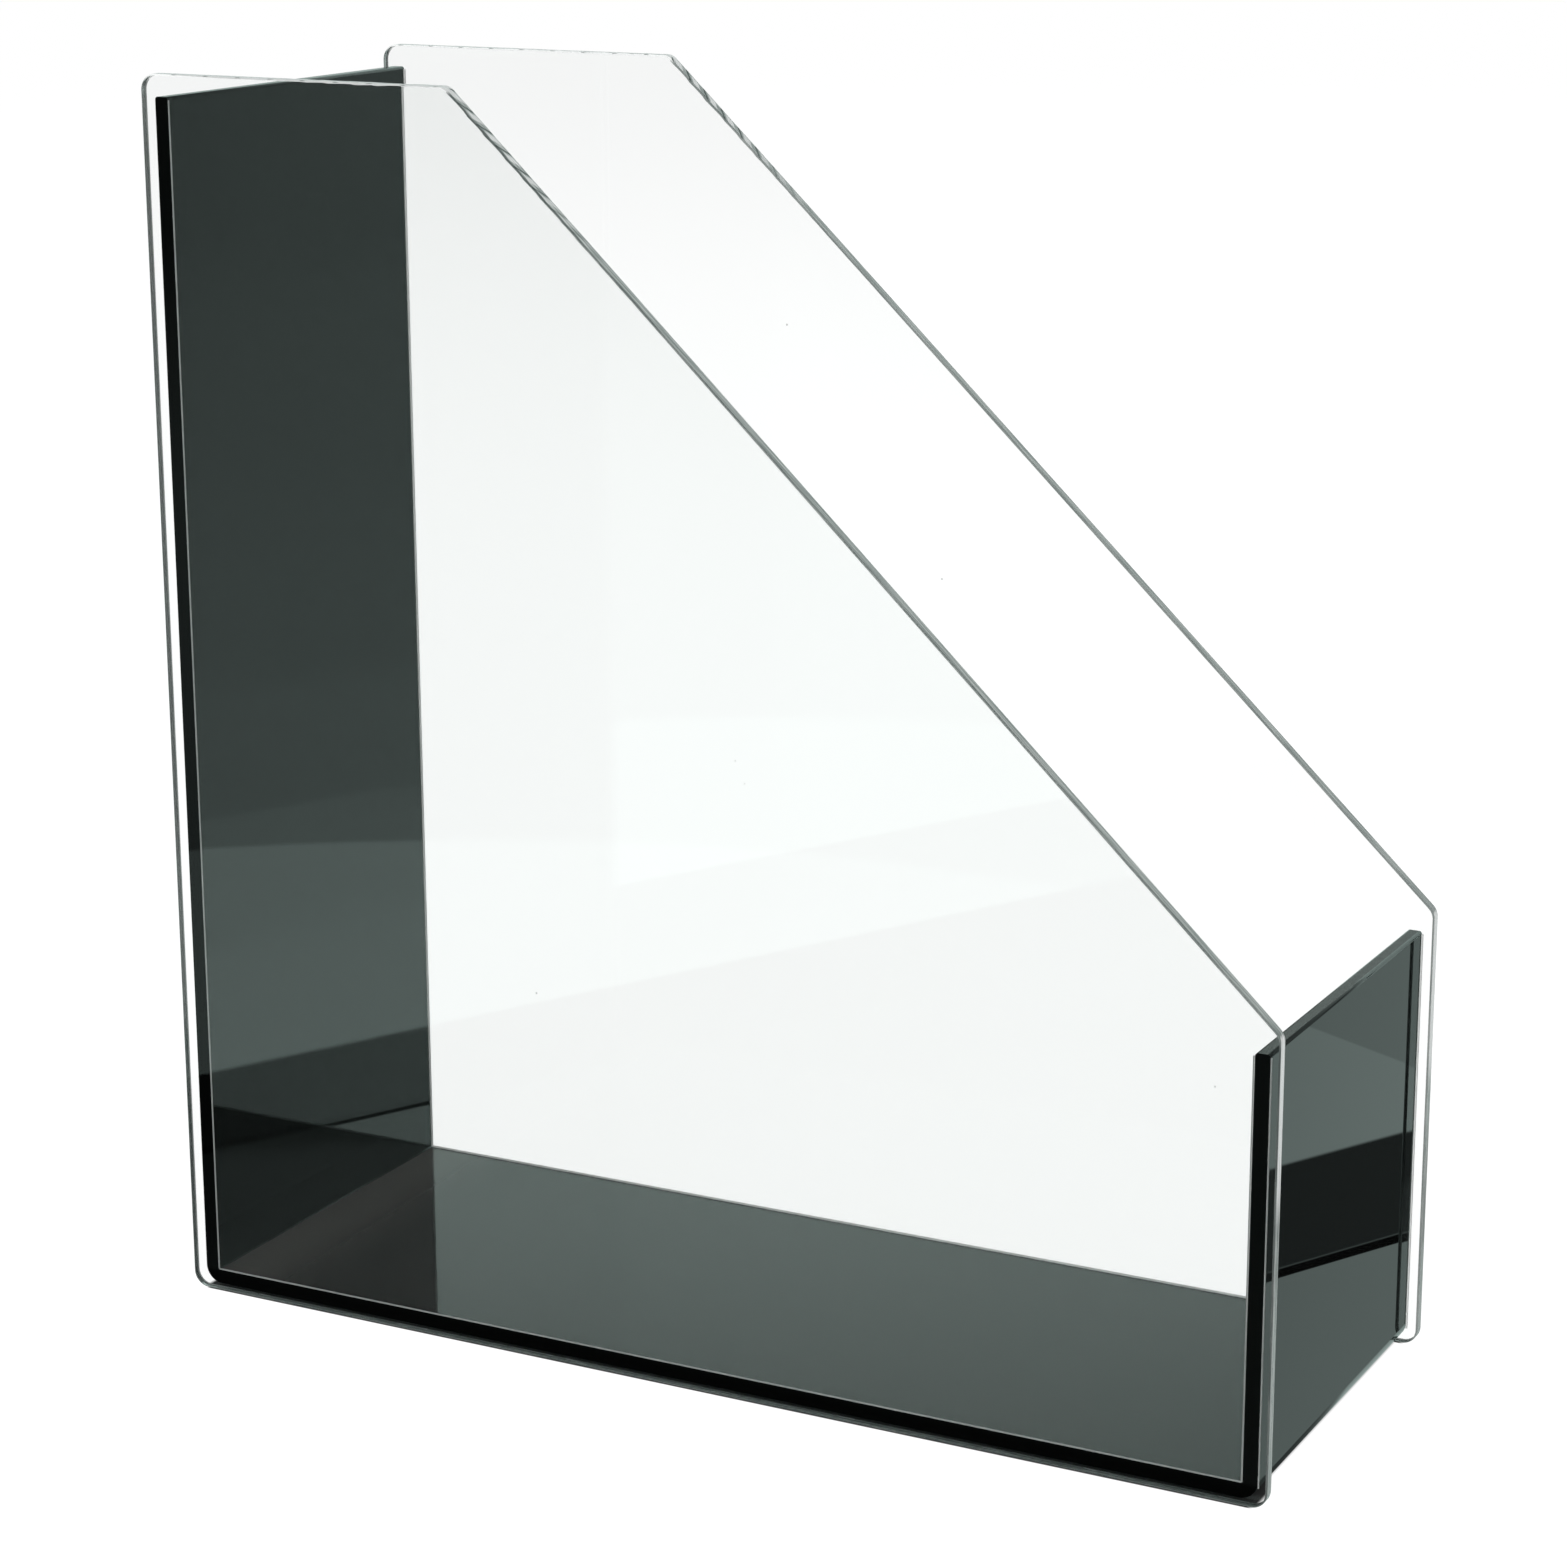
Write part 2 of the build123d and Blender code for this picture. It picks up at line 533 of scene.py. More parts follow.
@dataclass(frozen=True)
class BlackAcrylic(Finish):
    """Gloss black acrylic with the faint draw of the sheet, hairline scratches and smudges."""

    name: str = "black_acrylic"
    colour: Colour = (0.0030, 0.0034, 0.0033)
    # Lighter base colours for upward faces, away from the back wall and near it.
    upward_tone: Colour = (0.034, 0.031, 0.030)
    in_corner: Colour = (0.105, 0.096, 0.092)
    corner_reach: Range = (-138 * MM, -106 * MM)
    speck: Colour = (0.30, 0.31, 0.30)
    hairline: Colour = (0.4, 0.41, 0.4)
    roughness: float = 0.004

    def material(self) -> Material:
        """Return the material."""
        material, sheet, shader = self.start()
        marks = self.marks(sheet, share=0.05, size=0.4 * MM, scratches=0.35)
        source = sheet.add("ShaderNodeTexCoord")
        upward = sheet.parts(source.outputs["Normal"])[2]
        x = sheet.parts(source.outputs["Object"])[0]
        # Upward faces are lighter, and lighter still towards the back wall.
        upward_blend = sheet.tint(sheet.remap(x, *self.corner_reach, 1.0, 0.0), self.upward_tone, self.in_corner)
        upward_toned = sheet.tint(sheet.remap(upward, 0.9, 1.0), self.colour, upward_blend)
        dusty = sheet.tint(sheet.times(marks.outputs["Specks"], 0.5), upward_toned, self.speck)
        lined = sheet.tint(sheet.times(marks.outputs["Scratches"], 0.05), dusty, self.hairline)
        hazy = sheet.math("MULTIPLY_ADD", marks.outputs["Smudges"], 0.02, self.roughness)
        rough = sheet.math("MULTIPLY_ADD", marks.outputs["Scratches"], 0.2, hazy)
        sheet.fill(shader, Base_Color=lined, Roughness=rough,
                   Normal=self.ripple(sheet, draw=0.3, ripple=0.15))
        return material


@dataclass(frozen=True)
class BondedEdge(Finish):
    """The black sheet's cut edge where cement wets it, so that nothing reflects from it."""

    name: str = "bonded_edge"
    colour: Colour = (0.0012, 0.0013, 0.0013)
    speck: Colour = (0.25, 0.26, 0.25)

    def material(self) -> Material:
        """Return the material."""
        material, sheet, shader = self.start()
        marks = self.marks(sheet, share=0.12, size=0.4 * MM, scratches=0.2)
        colour = sheet.tint(sheet.times(marks.outputs["Specks"], 0.25), self.colour, self.speck)
        sheet.fill(shader, Base_Color=colour, Specular_IOR_Level=0.0, Roughness=1.0)
        return material


@dataclass(frozen=True)
class ClearCement(Finish):
    """Set solvent cement, clear with a slightly uneven skin."""

    name: str = "clear_cement"
    colour: Colour = (0.96, 0.97, 0.96)

    def material(self) -> Material:
        """Return the material."""
        material, sheet, shader = self.start()
        cloudy = sheet.remap(sheet.noise(sheet.place(), 220.0, 2.0), 0.45, 0.8, 0.02, 0.2)
        sheet.fill(shader, Base_Color=(*self.colour, 1.0), Roughness=cloudy,
                   Normal=self.ripple(sheet, draw=0.5, ripple=2.0), Transmission_Weight=0.45)
        return material


# The rack's pieces


def dress(piece: Object, rim: Material, flat: Material) -> None:
    """Give a prism one material on its rim, whose faces have four corners, and one on its flats."""
    piece.data.materials.append(rim)
    piece.data.materials.append(flat)
    for polygon in piece.data.polygons:
        polygon.material_index = int(len(polygon.vertices) > 4)


@dataclass
class SidePanel:
    """A clear side panel with flame-polished edges."""

    side: Side
    top_length: float = 84.2 * MM
    front_height: float = 110.6 * MM
    corner_radius: float = 4.0 * MM
    edge_radius: float = 0.4 * MM
    twist_depth: float = 0.17 * MM
    twist_reach: float = 45.0 * MM
    twist_left: float = 0.14
    chatter_length: float = 6.6 * MM
    chatter_depth: float = 0.24 * MM
    low: Vector = field(init=False)
    high: Vector = field(init=False)

    def __post_init__(self) -> None:
        """Take the panel's place and overall size from its CAD node."""
        self.low, self.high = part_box(self.node)

    @property
    def node(self) -> str:
        """The CAD node that the panel stands for."""
        return f"{self.side.word}_side_panel"

    def outline(self) -> list[RimPoint]:
        """Return the panel's outline, with its slope down to the front."""
        back, bottom, front, top = self.low.x, self.low.z, self.high.x, self.high.z
        places = [(back, bottom), (front, bottom), (front, self.front_height),
                  (back + self.top_length, top), (back, top)]
        corners = [Corner(x, z, self.corner_radius) for x, z in places]
        return rounded_outline(corners, spacing=1.5 * MM, arc_steps=12)

    def polish_sink(self, point: RimPoint, row: Row) -> float:
        """Return how far the flame has sunk a point of the rim.

        The polished rim swells and twists slowly along the edge, most of all round the corner
        where the slope meets the top. The saw's chatter is left there too, as even facets that
        lean one way and then the other.
        """
        away = math.hypot(point.x - self.low.x - self.top_length, point.z - self.high.z)
        near_corner = math.exp(-(away / self.twist_reach) ** 2)
        seed = 11.0 + 7.0 * self.side.value
        middle = (self.low.y + self.high.y) / 2
        half = (self.high.y - self.low.y) / 2
        across = (row.y - middle) / half
        slow = noise.noise(Vector((point.along / (9 * MM), seed, 0.0)))
        quick = noise.noise(Vector((point.along / (3.5 * MM), seed, 5.0)))
        tilt = (0.7 * slow + 0.3 * quick) * across
        crown = 0.35 * noise.noise(Vector((point.along / (6 * MM), seed, 9.0))) * (1 - across * across)
        phase = (point.along / self.chatter_length + 0.42 * across) % 1.0
        lean = 0.5 + 0.5 * across * math.cos(phase * math.pi)
        facet = self.chatter_depth * near_corner * phase * lean
        return self.twist_depth * (self.twist_left + near_corner) * (0.8 + tilt + crown) + facet

    def build(self, edge: Material, face: Material) -> Object:
        """Build the panel and dress it.

        Args:
            edge: The material of its polished rim.
            face: The clear material of its two flat faces.

        Returns:
            The finished piece.
        """
        rows = rounded_rows(self.low.y, self.high.y, self.edge_radius, arc_steps=4, middle=6)
        piece = prism(f"{self.side.word}_clear_panel", self.outline(), rows, self.polish_sink)
        dress(piece, edge, face)
        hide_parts(self.node)
        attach(piece, BODY)
        return piece


@dataclass
class BentBand:
    """The bent black sheet: back wall, floor and front wall in one piece."""

    thickness: float = 3.6 * MM
    front_wall_top: float = 105.7 * MM
    bend_radius: float = 0.8 * MM
    crease_radius: float = 0.35 * MM
    top_radius: float = 0.7 * MM
    edge_bond: float = 0.02 * MM
    low: Vector = field(init=False)
    high: Vector = field(init=False)
    panel_face: float = field(init=False)
    inside_back: float = field(init=False)
    inside_front: float = field(init=False)
    inside_floor: float = field(init=False)

    def __post_init__(self) -> None:
        """Take the band's size from its CAD node, and its cut edges' place from the panels."""
        self.low, self.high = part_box("bent_band")
        self.panel_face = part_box("right_side_panel")[0].y
        self.inside_back = self.low.x + self.thickness
        self.inside_front = self.high.x - self.thickness
        self.inside_floor = self.low.z + self.thickness

    def outline(self) -> list[RimPoint]:
        """Return the band's section across its bends."""
        outer = self.bend_radius + self.thickness
        corners = [
            Corner(self.low.x, self.low.z, outer),
            Corner(self.high.x, self.low.z, outer),
            Corner(self.high.x, self.front_wall_top, self.top_radius),
            Corner(self.inside_front, self.front_wall_top, self.top_radius),
            Corner(self.inside_front, self.inside_floor, self.crease_radius),
            Corner(self.inside_back, self.inside_floor, self.crease_radius),
            Corner(self.inside_back, self.high.z, self.top_radius),
            Corner(self.low.x, self.high.z, self.top_radius),
        ]
        return rounded_outline(corners, spacing=12 * MM, arc_steps=20)

    def build(self, gloss: Material, bonded: Material) -> Object:
        """Build the band and dress it.

        Args:
            gloss: The material of its open faces.
            bonded: The material of its two cemented edges.

        Returns:
            The finished piece.
        """
        half = self.panel_face + self.edge_bond
        piece = prism("black_band", self.outline(), [Row(-half, 0.0), Row(half, 0.0)])
        dress(piece, gloss, bonded)
        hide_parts("bent_band")
        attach(piece, BODY)
        return piece


@dataclass
class CementSeam:
    """The clear cement along one panel: a bead inside the rack, with bubbles, and one in front.

    The front bead fills the corner between the front wall's outer face and the panel's overhang.
    """

    side: Side
    band: BentBand
    leg: float = 0.45 * MM
    front_leg: float = 0.4 * MM
    front_margin: float = 3.0 * MM
    gap: float = 0.004 * MM
    bend_steps: int = 6
    bubble_size: float = 0.16 * MM
    bubbles: int = 420
    front_bubbles: int = 40

    @property
    def node(self) -> str:
        """The CAD node that the seam stands for."""
        return f"{self.side.word}_cement_seam"

    def path(self) -> Object:
        """Return the line where the band's inner faces meet the panel, as a mesh of edges."""
        y = self.side.value * (self.band.panel_face - self.gap)
        back = self.band.inside_back + self.gap
        front = self.band.inside_front - self.gap
        floor = self.band.inside_floor + self.gap
        back_top = self.band.high.z - self.band.top_radius
        front_top = self.band.front_wall_top - self.band.top_radius
        places = [Vector((x, y, z)) for x, z in ((back, back_top), (back, floor),
                                                 (front, floor), (front, front_top))]
        radius = self.band.crease_radius
        line = [places[0]]
        for before, here, after in zip(places, places[1:], places[2:]):
            start = here + (before - here).normalized() * radius
            end = here + (after - here).normalized() * radius
            centre = start + end - here
            for step in range(self.bend_steps + 1):
                angle = math.pi / 2 * step / self.bend_steps
                line.append(centre + (start - centre) * math.cos(angle) + (end - centre) * math.sin(angle))
        line.append(places[-1])
        return line_holder(f"{self.side.word}_seam_path", self.turned(line))

    def front_path(self) -> Object:
        """Return the upright line where the front wall's outer face meets the panel."""
        y = self.side.value * (self.band.panel_face - self.gap)
        x = self.band.high.x + self.gap
        low = Vector((x, y, self.band.low.z + self.front_margin))
        high = Vector((x, y, self.band.front_wall_top - self.band.top_radius))
        return line_holder(f"{self.side.word}_front_path", self.turned([high, low]))

    def turned(self, line: Sequence[Vector]) -> Sequence[Vector]:
        """Return a line's points in the order that puts its bead on the open side of the band."""
        return line[:: -self.side.value]

    def build(self, finish: Material) -> list[Object]:
        """Build both beads with their node tree, make them plain meshes and dress them.

        Args:
            finish: The cement material.

        Returns:
            The finished pieces.
        """
        inputs = {"Leg": self.leg, "Toward Middle": -float(self.side.value), "Bubbles": self.bubbles,
                  "Bubble Size": self.bubble_size, "Seed": 5 + self.side.value, "Finish": finish}
        inner = realised(self.path(), cement_tree(), inputs, f"{self.side.word}_cement_bead")
        inputs.update({"Leg": self.front_leg, "Bubbles": self.front_bubbles, "Seed": 15 + self.side.value})
        front = realised(self.front_path(), cement_tree(), inputs, f"{self.side.word}_front_cement")
        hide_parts(self.node)
        for piece in (inner, front):
            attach(piece, BODY)
        return [inner, front]


def line_holder(name: str, line: Sequence[Vector]) -> Object:
    """Return an object whose mesh is one open line of edges.

    Args:
        name: The object's name.
        line: The line's points in order.
    """
    mesh = bpy.data.meshes.new(name)
    mesh.from_pydata([tuple(point) for point in line], [(i, i + 1) for i in range(len(line) - 1)], [])
    return linked(name, mesh)


@cache
def cement_tree() -> NodeTree:
    """Return the node tree that runs a wavy bead and bubbles along a line.

    The bead is a small corner fillet with a hollow face. It swells and thins along the line, most
    of all at the top and at the back of the floor, and bubbles lie scattered in and beside it.
    """
    tree = bpy.data.node_groups.new("cement_bead", "GeometryNodeTree")
    tree.is_modifier = True
    sockets = {"Line": "Geometry", "Leg": "Float", "Toward Middle": "Float", "Bubbles": "Int",
               "Bubble Size": "Float", "Seed": "Int", "Finish": "Material"}
    for label, kind in sockets.items():
        tree.interface.new_socket(label, in_out="INPUT", socket_type=f"NodeSocket{kind}")
    tree.interface.new_socket("Bead", in_out="OUTPUT", socket_type="NodeSocketGeometry")
    sheet = NodeSheet(tree)
    given = sheet.add("NodeGroupInput").outputs
    result = sheet.add("NodeGroupOutput")

    curve = sheet.fill(sheet.add("GeometryNodeMeshToCurve"), Mesh=given["Line"]).outputs["Curve"]
    fine = sheet.add("GeometryNodeResampleCurve", mode="LENGTH")
    sheet.fill(fine, Curve=curve, Length=0.5 * MM)
    facing = sheet.add("GeometryNodeSetCurveNormal", mode="FREE")
    across = sheet.fill(sheet.add("ShaderNodeCombineXYZ"), Y=given["Toward Middle"])
    sheet.fill(facing, Curve=fine.outputs["Curve"], Normal=across.outputs[0])

    place = sheet.add("GeometryNodeInputPosition").outputs[0]
    seeded = sheet.add("ShaderNodeTexNoise", noise_dimensions="4D")
    sheet.fill(seeded, Vector=place, W=given["Seed"], Scale=210.0)
    swell = sheet.remap(seeded.outputs["Fac"], 0.3, 0.75, 0.45, 1.0)
    x, _, z = sheet.parts(place)
    run_top = sheet.remap(z, 284 * MM, 290 * MM, 0.0, 0.9)
    on_floor = sheet.remap(z, 6 * MM, 9 * MM, 1.0, 0.0)
    squeezed = sheet.times(sheet.remap(x, -132 * MM, -126 * MM),
                           sheet.remap(x, -96 * MM, -84 * MM, 0.8, 0.0))
    extra = sheet.math("MULTIPLY_ADD", squeezed, on_floor, run_top)
    swell = sheet.math("MULTIPLY_ADD", swell, extra, swell)
    width = sheet.add("GeometryNodeSetCurveRadius")
    sheet.fill(width, Curve=facing.outputs["Curve"], Radius=swell)

    profile = sheet.add("GeometryNodeCurvePrimitiveQuadrilateral", mode="POINTS")
    hollow = sheet.times(given["Leg"], 0.3)
    for label, (x, y) in (("Point 1", (0.0, 0.0)), ("Point 2", (given["Leg"], 0.0)),
                          ("Point 3", (hollow, hollow)), ("Point 4", (0.0, given["Leg"]))):
        point = sheet.fill(sheet.add("ShaderNodeCombineXYZ"), X=x, Y=y)
        sheet.feed(profile.inputs[label], point.outputs[0])
    bead = sheet.add("GeometryNodeCurveToMesh")
    sheet.fill(bead, Curve=width.outputs["Curve"], Profile_Curve=profile.outputs["Curve"], Fill_Caps=True)

    dots = sheet.add("GeometryNodeResampleCurve", mode="COUNT")
    sheet.fill(dots, Curve=curve, Count=given["Bubbles"])
    ball = sheet.add("GeometryNodeMeshIcoSphere")
    sheet.fill(ball, Radius=given["Bubble Size"], Subdivisions=2)
    points = sheet.add("GeometryNodeCurveToPoints", mode="EVALUATED")
    sheet.fill(points, Curve=dots.outputs["Curve"])
    crowd = sheet.remap(sheet.noise(place, 24.0, 2.0), 0.45, 0.75)
    chance = sheet.add("FunctionNodeRandomValue", data_type="FLOAT")
    sheet.feed(chance.inputs["Seed"], given["Seed"])
    kept = sheet.math("LESS_THAN", chance.outputs[1], crowd)
    size = sheet.add("FunctionNodeRandomValue", data_type="FLOAT")
    size.inputs[2].default_value, size.inputs[3].default_value = 0.25, 1.0
    sheet.feed(size.inputs["Seed"], given["Seed"])
    put = sheet.add("GeometryNodeInstanceOnPoints")
    sheet.fill(put, Points=points.outputs["Points"], Selection=kept, Instance=ball.outputs["Mesh"],
               Scale=size.outputs[1])

    both = sheet.add("GeometryNodeJoinGeometry")
    sheet.fill(both, Geometry=bead.outputs["Mesh"])
    sheet.fill(both, Geometry=put.outputs["Instances"])
    plain = sheet.fill(sheet.add("GeometryNodeRealizeInstances"), Geometry=both.outputs["Geometry"])
    dressed = sheet.add("GeometryNodeSetMaterial")
    sheet.fill(dressed, Geometry=plain.outputs["Geometry"], Material=given["Finish"])
    sheet.feed(result.inputs["Bead"], dressed.outputs["Geometry"])
    return tree


def realised(holder: Object, tree: NodeTree, inputs: dict[str, object], name: str) -> Object:
    """Run a geometry node tree on an object and keep the result as a plain mesh.

    Args:
        holder: The object that gives the tree its geometry. It is removed.
        tree: The geometry node tree.
        inputs: Values for the tree's inputs, by name.
        name: The new piece's name.

    Returns:
        The new piece, linked to the scene.
    """
    modifier = holder.modifiers.new(tree.name, "NODES")
    modifier.node_group = tree
    sockets = {item.name: item.identifier for item in tree.interface.items_tree if item.in_out == "INPUT"}
    for label, value in inputs.items():
        modifier[sockets[label]] = value
    evaluated = holder.evaluated_get(bpy.context.evaluated_depsgraph_get())
    mesh = bpy.data.meshes.new_from_object(evaluated)
    mesh.name = name
    holder.modifiers.remove(modifier)
    bpy.data.objects.remove(holder)
    return linked(name, mesh)


# Studio


@dataclass(frozen=True)
class Stripe:
    """A stripe in what the gloss faces mirror: its two sides, their blur and its brightness."""

    low: float
    high: float
    blur: float
    level: float = 1.0

    def mask(self, sheet: NodeSheet, value: object) -> NodeSocket:
        """Return a mask that is 1 between the two sides and falls off over the blur."""
        rise = sheet.remap(value, self.low - self.blur, self.low + self.blur)
        fall = sheet.remap(value, self.high - self.blur, self.high + self.blur, 1.0, 0.0)
        return sheet.times(rise, fall)


@dataclass(frozen=True)
class Step:
    """A line past which the gloss faces mirror another brightness, and the blur between."""

    low: float
    high: float
    level: float

    def onto(self, sheet: NodeSheet, value: object, under: object) -> NodeSocket:
        """Return the brightness under the step, with the step's own past its line."""
        return sheet.blend(sheet.remap(value, self.low, self.high), under, self.level)


@dataclass
class Studio:
    """A pale floor, soft white light and the camera.

    The gloss faces mirror a studio that is bright behind and to the right of the rack and dark
    on the camera's side, with a dark strip lying on the floor before the low front. Places on its
    floor are given to the right (u) and ahead (v) of the middle, as seen by the camera. Each
    range is the blur between one part of it and the next.
    """

    turn: float = math.radians(27.536)
    pitch: float = math.radians(14.911)
    roll: float = math.radians(-0.20)
    place: Vector = field(default_factory=lambda: Vector((0.4144, -0.8004, 0.3770)))
    lens: float = 88.857
    sensor: float = 36.0
    floor_radius: float = 12.0
    floor_sides: int = 96
    floor_drop: float = 0.1 * MM
    shade_edge: float = 0.8 * MM
    shade_side_edge: float = 0.3 * MM
    screen_edge: float = math.radians(-120.1)
    screen_blur: float = 0.04
    mirrored_tint: Colour = (0.80, 1.0, 0.95)
    floor_strip: Stripe = Stripe(0.2035, 0.2595, 0.0012, 0.045)
    strip_line: Stripe = Stripe(0.1990, 0.2035, 0.0003, 0.0)
    rack_shade: Stripe = Stripe(-0.055, 0.004, 0.0012, 0.49)
    shade_line: Stripe = Stripe(-0.057, -0.054, 0.0006, 0.05)
    camera_line: Stripe = Stripe(-0.243, -0.238, 0.0008, 0.0)
    far_line: Range = (0.150, 0.165)
    wall_line: Range = (0.055, 0.070)
    wall_side: Range = (0.10, 0.14)
    front_line: Range = (0.258, 0.261)
    front_turn: Range = (0.1255, 0.1270)
    front_end: Range = (0.40, 0.46)
    far_fade: Range = (0.28, 0.62)
    far_return: Range = (1.0, 1.9)
    side_line: Range = (-0.0580, -0.0540)
    table_edge: Step = Step(-0.484, -0.478, 0.62)
    table_curve: float = -1.74
    table_curve_start: float = -0.15
    left_dark: Step = Step(-0.300, -0.298, 0.02)
    camera_side: Range = (-0.2405, -0.2380)
    panel_foot: Step = Step(-0.0655, -0.0630, 0.02)
    sky_line: float = math.sin(math.radians(20.1))
    sky_line_blur: float = 0.003
    sky_fade: Range = (math.sin(math.radians(20.5)), math.sin(math.radians(25.5)))

    @property
    def ahead(self) -> tuple[float, float, float]:
        """The level direction in which the camera looks."""
        return (-math.sin(self.turn), math.cos(self.turn), 0.0)

    def build(self) -> None:
        """Build the camera, the floor and the light."""
        self.build_camera()
        self.build_floor()
        self.build_world()
        bpy.context.scene.view_settings.view_transform = "Standard"
        cycles = bpy.context.scene.cycles
        cycles.max_bounces = 24
        cycles.glossy_bounces = 16
        cycles.transmission_bounces = 24

    def build_camera(self) -> None:
        """Put the camera where it looks down on the rack from its low front corner."""
        forward = Vector(self.ahead) * math.cos(self.pitch) - Vector((0, 0, math.sin(self.pitch)))
        level = forward.cross(Vector((0, 0, 1))).normalized()
        upright = level.cross(forward)
        right = level * math.cos(self.roll) + upright * math.sin(self.roll)
        up = upright * math.cos(self.roll) - level * math.sin(self.roll)
        data = bpy.data.cameras.new("camera")
        data.sensor_width = self.sensor
        data.lens = self.lens
        data.clip_start = 10 * MM
        camera = linked("camera", data)
        turned = Matrix((right, up, -forward)).transposed().to_4x4()
        camera.matrix_world = Matrix.Translation(self.place) @ turned
        bpy.context.scene.camera = camera

    def screen(self, sheet: NodeSheet, place: object, before: float, beside: float) -> NodeSocket:
        """Return one brightness in front of the white screen's edge and another beside it.

        The screen stands on the camera's side, to the right of an upright edge.

        Args:
            sheet: The sheet of the material.
            place: A place or a direction.
            before: The brightness to the right of the edge.
            beside: The brightness to its left.
        """
        across = (math.sin(self.screen_edge), -math.cos(self.screen_edge), 0.0)
        off_edge = sheet.along(place, across)
        return sheet.remap(off_edge, -self.screen_blur, self.screen_blur, before, beside)

    def mirrored_floor(self, sheet: NodeSheet, place: NodeSocket) -> NodeSocket:
        """Return how bright the floor is when the rack's gloss faces mirror it.

        Args:
            sheet: The sheet of the floor's material.
            place: Coordinates on the floor.
        """
        u = sheet.along(place, (math.cos(self.turn), math.sin(self.turn), 0.0))
        v = sheet.along(place, self.ahead)
        x, y, _ = sheet.parts(place)
        away = sheet.vector("LENGTH", place).outputs["Value"]

        # Behind and beyond the front
        before_far = sheet.remap(v, *self.far_line, 1.0, 0.0)
        behind = sheet.remap(v, *self.wall_line)
        open_far = sheet.remap(away, *self.far_fade, 0.67, 0.43)
        open_far = sheet.blend(sheet.remap(away, *self.far_return), open_far, 0.55)
        value = sheet.blend(before_far, open_far, 0.48)
        front = sheet.remap(v, *self.front_turn, 0.66, 0.50)
        value = sheet.blend(sheet.remap(u, *self.front_line), value, front)
        value = sheet.blend(sheet.remap(u, *self.front_end), value, open_far)
        for stripe in (self.floor_strip, self.strip_line):
            value = sheet.blend(sheet.times(stripe.mask(sheet, u), before_far), value, stripe.level)
        wall_side = sheet.times(sheet.remap(u, *self.wall_side, 1.0, 0.0), behind)
        value = sheet.blend(wall_side, value, 0.77)
        for stripe in (self.rack_shade, self.shade_line):
            value = sheet.blend(sheet.times(stripe.mask(sheet, u), behind), value, stripe.level)

        # On the camera's side
        past_left = sheet.math("MINIMUM", sheet.math("SUBTRACT", x, self.table_curve_start), 0.0)
        curved = sheet.times(sheet.times(past_left, past_left), self.table_curve)
        lit_side = self.screen(sheet, place, before=0.36, beside=0.25)
        outer = sheet.times(lit_side, sheet.remap(away, 0.8, 2.5, 1.0, 0.2))
        near = self.table_edge.onto(sheet, sheet.math("ADD", y, curved), outer)
        near = self.left_dark.onto(sheet, u, near)
        inner = sheet.remap(u, -0.190, -0.150, 0.05, 0.08)
        near = sheet.blend(sheet.remap(u, *self.camera_side), near, inner)
        near = sheet.blend(self.camera_line.mask(sheet, u), near, self.camera_line.level)
        near = self.panel_foot.onto(sheet, y, near)
        return sheet.blend(sheet.remap(y, *self.side_line), near, value)

    def open_floor(self, sheet: NodeSheet, place: NodeSocket, through: NodeSocket) -> NodeSocket:
        """Return a mask that is 0 in the shadow right under the rack.

        Args:
            sheet: The sheet of the floor's material.
            place: Coordinates on the floor.
            through: 1 where the floor is seen through a clear sheet, and so under the front bend too.
        """
        x, y, _ = sheet.parts(place)
        covers: list[NodeSocket] = []
        for node, margin in (("bent_band", 3.0 * MM), ("bent_band", 0.0), ("left_side_panel", 4.0 * MM),
                             ("right_side_panel", 4.0 * MM)):
            low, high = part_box(node)
            lengthwise = Stripe(low.x + margin, high.x - margin, self.shade_edge)
            crosswise = Stripe(low.y, high.y, self.shade_side_edge)
            covers.append(sheet.times(lengthwise.mask(sheet, x), crosswise.mask(sheet, y)))
        cover = sheet.blend(through, covers[0], covers[1])
        for panel in covers[2:]:
            cover = sheet.math("MAXIMUM", cover, panel)
        return sheet.math("SUBTRACT", 1.0, cover)

    def mirrored_instead(self, sheet: NodeSheet, plain: NodeSocket, mirrored: Node) -> NodeSocket:
        """Return a shader that is plain where it is seen, and the studio's where gloss mirrors it.

        Args:
            sheet: The sheet of the floor or of the world.
            plain: The plain shader.
            mirrored: The node that glows with the studio's brightness. It gets the studio's tint.
        """
        mirrored.inputs["Color"].default_value = (*self.mirrored_tint, 1.0)
        path = sheet.add("ShaderNodeLightPath")
        reflected = sheet.math("GREATER_THAN", path.outputs["Glossy Depth"], 0.5)
        choice = sheet.add("ShaderNodeMixShader")
        for socket, value in zip(choice.inputs, (reflected, plain, mirrored.outputs[0])):
            sheet.feed(socket, value)
        return choice.outputs[0]

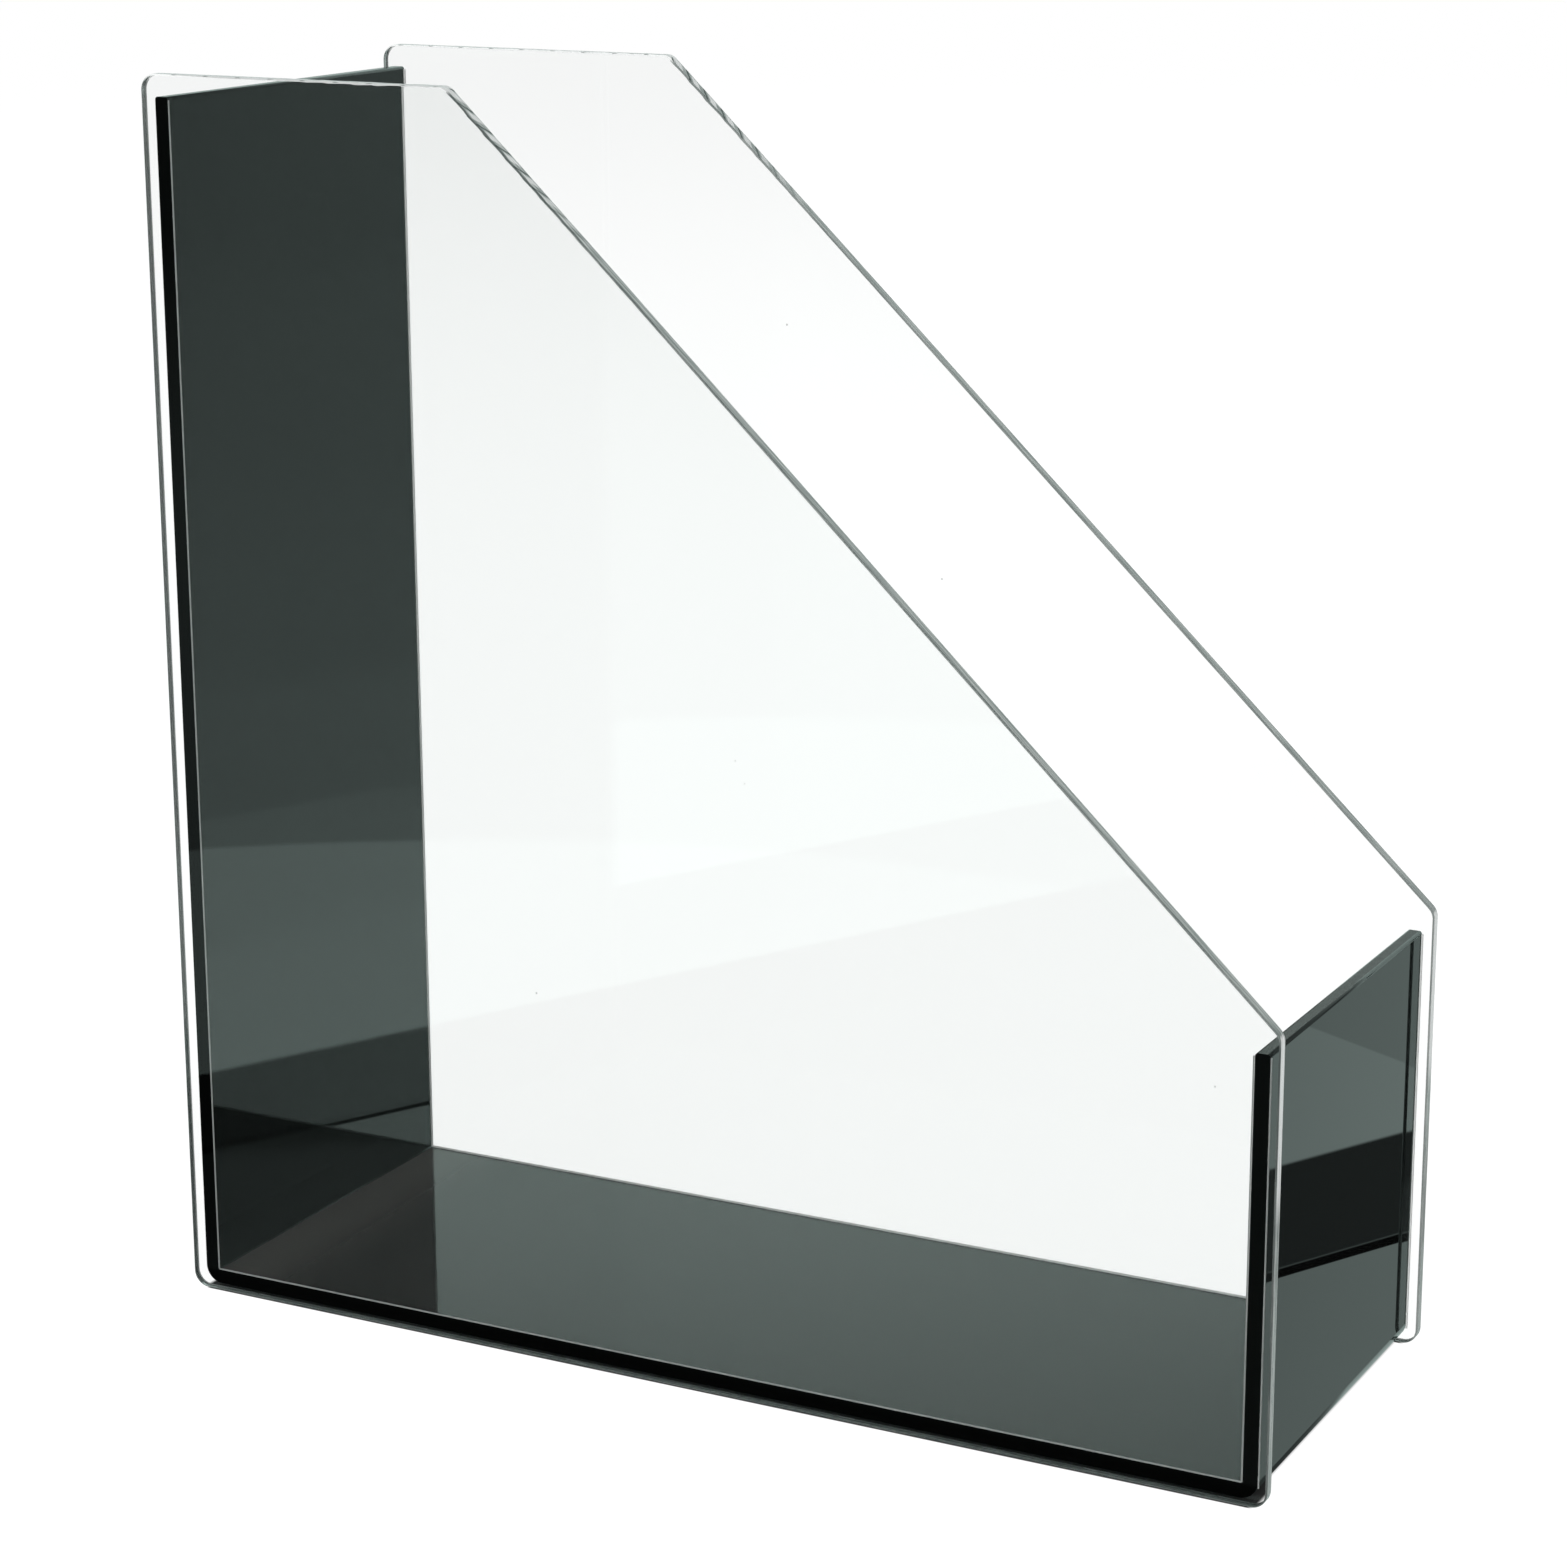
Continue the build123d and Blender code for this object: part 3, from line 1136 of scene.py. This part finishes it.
    def build_floor(self) -> None:
        """Lay the pale floor, which glows, with painted shadow under the rack and painted light near it.
        """
        angles = [2 * math.pi * i / self.floor_sides for i in range(self.floor_sides)]
        ring = [(math.cos(a) * self.floor_radius, math.sin(a) * self.floor_radius, -self.floor_drop)
                for a in angles]
        mesh = bpy.data.meshes.new("floor")
        mesh.from_pydata(ring, [], [tuple(range(self.floor_sides))])
        floor = linked("floor", mesh)
        material = bpy.data.materials.new("pale_floor")
        material.use_nodes = True
        tree = material.node_tree
        sheet = NodeSheet(tree)
        tree.nodes.remove(tree.nodes["Principled BSDF"])
        place = sheet.place()
        path = sheet.add("ShaderNodeLightPath")
        through = sheet.math("GREATER_THAN", path.outputs["Transmission Depth"], 0.5)
        # Painted shadow: the glow is masked off under the rack, and under the front bend too where the
        # floor is seen through a clear sheet.
        open_floor = self.open_floor(sheet, place, through)
        away = sheet.vector("LENGTH", place).outputs["Value"]
        # Painted light: the glow is a little stronger near the rack and fades outwards.
        pale = sheet.times(open_floor, sheet.remap(away, 0.3, 4.0, 1.05, 0.95))
        diffuse = sheet.fill(sheet.add("ShaderNodeBsdfDiffuse"), Color=(0.05, 0.05, 0.05, 1.0))
        glow = sheet.fill(sheet.add("ShaderNodeEmission"), Color=(1.0, 1.0, 1.0, 1.0), Strength=pale)
        seen = sheet.add("ShaderNodeAddShader")
        sheet.feed(seen.inputs[0], diffuse.outputs[0])
        sheet.feed(seen.inputs[1], glow.outputs[0])
        # The painted shadow under the rack is also in the floor that the gloss faces mirror.
        bright = sheet.times(self.mirrored_floor(sheet, place), open_floor)
        mirrored = sheet.fill(sheet.add("ShaderNodeEmission"), Strength=bright)
        surface = self.mirrored_instead(sheet, seen.outputs[0], mirrored)
        sheet.feed(tree.nodes["Material Output"].inputs["Surface"], surface)
        floor.data.materials.append(material)

    def build_world(self) -> None:
        """Light the rack evenly, with the designed studio in its reflections."""
        world = bpy.data.worlds.new("studio_light")
        world.use_nodes = True
        bpy.context.scene.world = world
        sheet = NodeSheet(world.node_tree)
        world.node_tree.nodes.clear()
        way = sheet.add("ShaderNodeTexCoord").outputs["Generated"]
        facing = sheet.along(way, self.ahead)
        height = sheet.parts(way)[2]
        far_sky = sheet.remap(height, *self.sky_fade, 0.88, 0.66)
        far_sky = sheet.blend(sheet.remap(height, 0.45, 0.75), far_sky, 0.95)
        backdrop = sheet.remap(facing, 0.30, 1.0, 0.20, 0.52)
        above = sheet.remap(height, self.sky_line - self.sky_line_blur, self.sky_line + self.sky_line_blur)
        far = sheet.blend(above, backdrop, far_sky)
        lit_side = self.screen(sheet, way, before=0.75, beside=0.14)
        near = sheet.blend(sheet.remap(height, 0.1, 0.9), lit_side, 0.6)
        studio = sheet.blend(sheet.remap(facing, -0.35, 0.30), near, far)
        plain = sheet.fill(sheet.add("ShaderNodeBackground"), Color=(1.0, 1.0, 1.0, 1.0), Strength=1.0)
        mirrored = sheet.fill(sheet.add("ShaderNodeBackground"), Strength=studio)
        output = sheet.add("ShaderNodeOutputWorld")
        sheet.feed(output.inputs["Surface"], self.mirrored_instead(sheet, plain.outputs[0], mirrored))
        world.cycles.sampling_method = "NONE"


def main() -> None:
    """Build the studio and the rack's pieces in order."""
    logging.basicConfig(level=logging.INFO, format="%(message)s")
    Studio().build()
    edge = CutEdge().material()
    clear = ClearAcrylic().material()
    cement = ClearCement().material()
    band = BentBand()
    made = [band.build(BlackAcrylic().material(), BondedEdge().material())]
    for side in Side:
        made.append(SidePanel(side).build(edge, clear))
        made += CementSeam(side, band).build(cement)
    for piece in made:
        log.info("%s: %d faces", piece.name, len(piece.data.polygons))


if __name__ == "__main__":
    main()
